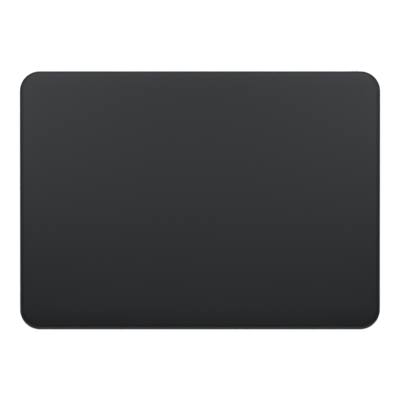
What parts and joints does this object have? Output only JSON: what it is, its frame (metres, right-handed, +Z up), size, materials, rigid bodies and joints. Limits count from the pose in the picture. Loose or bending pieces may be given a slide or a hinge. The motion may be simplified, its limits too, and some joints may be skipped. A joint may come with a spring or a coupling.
{
  "type": "trackpad",
  "caption": "Slim wedge-shaped trackpad: a dark satin glass surface on leaf springs over a metal casing, with a power slider and a charging port at the rear.",
  "frame": {"origin": "on the desk, under the middle of the glass surface's outline", "axes": "+X to the user's right along the long side, +Y away from the user towards the port, +Z up"},
  "size_m": [0.16, 0.1151, 0.0109],
  "materials": {
    "black_glass": "satin",
    "black_adhesive": "matte",
    "circuit_board": "satin",
    "chip_black": "matte",
    "plain_aluminium": "satin",
    "soft_iron": "satin",
    "copper": "satin",
    "silver_aluminium": "satin",
    "screw_steel": "satin",
    "white_tape": "matte",
    "connector_plastic": "satin",
    "shield_metal": "satin",
    "flex_ribbon": "satin",
    "carrier_plastic": "satin",
    "spring_steel": "satin",
    "port_steel": "polished",
    "gold": "polished",
    "green_paint": "satin",
    "gel": "gloss",
    "foot_rubber": "matte",
    "pouch": "satin"
  },
  "bodies": {
    "housing": {"housing": "silver_aluminium", "bottom_plate": "silver_aluminium", "bottom_adhesive": "black_adhesive", "flexure_screws": "screw_steel", "main_board_screws": "screw_steel", "port_screws": "screw_steel", "actuator_screws": "screw_steel", "switch_screw": "screw_steel", "battery_tapes": "white_tape", "main_board": "circuit_board", "main_board_chips": "chip_black", "board_connectors": "connector_plastic", "radio_shield": "shield_metal", "sensor_flex": "flex_ribbon", "switch_ribbon": "flex_ribbon", "antenna_ribbon": "flex_ribbon", "antenna_carrier": "carrier_plastic", "antenna_trace": "copper", "actuator_bracket": "spring_steel", "port_shell": "port_steel", "port_tongue": "carrier_plastic", "port_contacts": "gold", "port_bracket": "spring_steel", "switch_backplate": "spring_steel", "slide_switch": "shield_metal", "front_left_foot": "foot_rubber", "front_right_foot": "foot_rubber", "rear_left_foot": "foot_rubber", "rear_right_foot": "foot_rubber", "left_battery_cell": "pouch", "left_cell_board": "circuit_board", "left_battery_lead": "flex_ribbon", "left_core": "soft_iron", "left_coils": "copper", "right_battery_cell": "pouch", "right_cell_board": "circuit_board", "right_battery_lead": "flex_ribbon", "right_core": "soft_iron", "right_coils": "copper"},
    "suspension": {"front_left_flexure": "spring_steel", "front_right_flexure": "spring_steel", "rear_left_flexure": "spring_steel", "rear_right_flexure": "spring_steel", "front_left_gel_pad": "gel", "front_right_gel_pad": "gel", "rear_left_gel_pad": "gel", "rear_right_gel_pad": "gel", "strain_gauges": "copper"},
    "touch_plate": {"glass_top": "black_glass", "touch_adhesive": "black_adhesive", "sensor_board": "circuit_board", "sensor_chips": "chip_black", "stiffener_plate": "plain_aluminium", "attraction_bar": "soft_iron"},
    "power_switch": {"switch_knob": "silver_aluminium", "switch_on_marker": "green_paint", "switch_slider": "carrier_plastic"}
  },
  "joints": [
    {"name": "surface_press", "type": "slide", "parent": "housing", "child": "suspension", "axis": [0, 0.0521, -0.9986], "range_m": [0, 0.0002], "stiffness_N_per_m": 12000, "springref_m": -0.0001, "deforming": ["front_left_flexure", "front_right_flexure", "rear_left_flexure", "rear_right_flexure", "strain_gauges", "sensor_flex"]},
    {"name": "haptic_shift", "type": "slide", "parent": "suspension", "child": "touch_plate", "axis": [1, 0, 0], "range_m": [-0.0001, 0.0001], "stiffness_N_per_m": 20000},
    {"name": "switch_slide", "type": "slide", "parent": "housing", "child": "power_switch", "axis": [-1, 0, 0], "range_m": [0, 0.0022]}
  ]
}
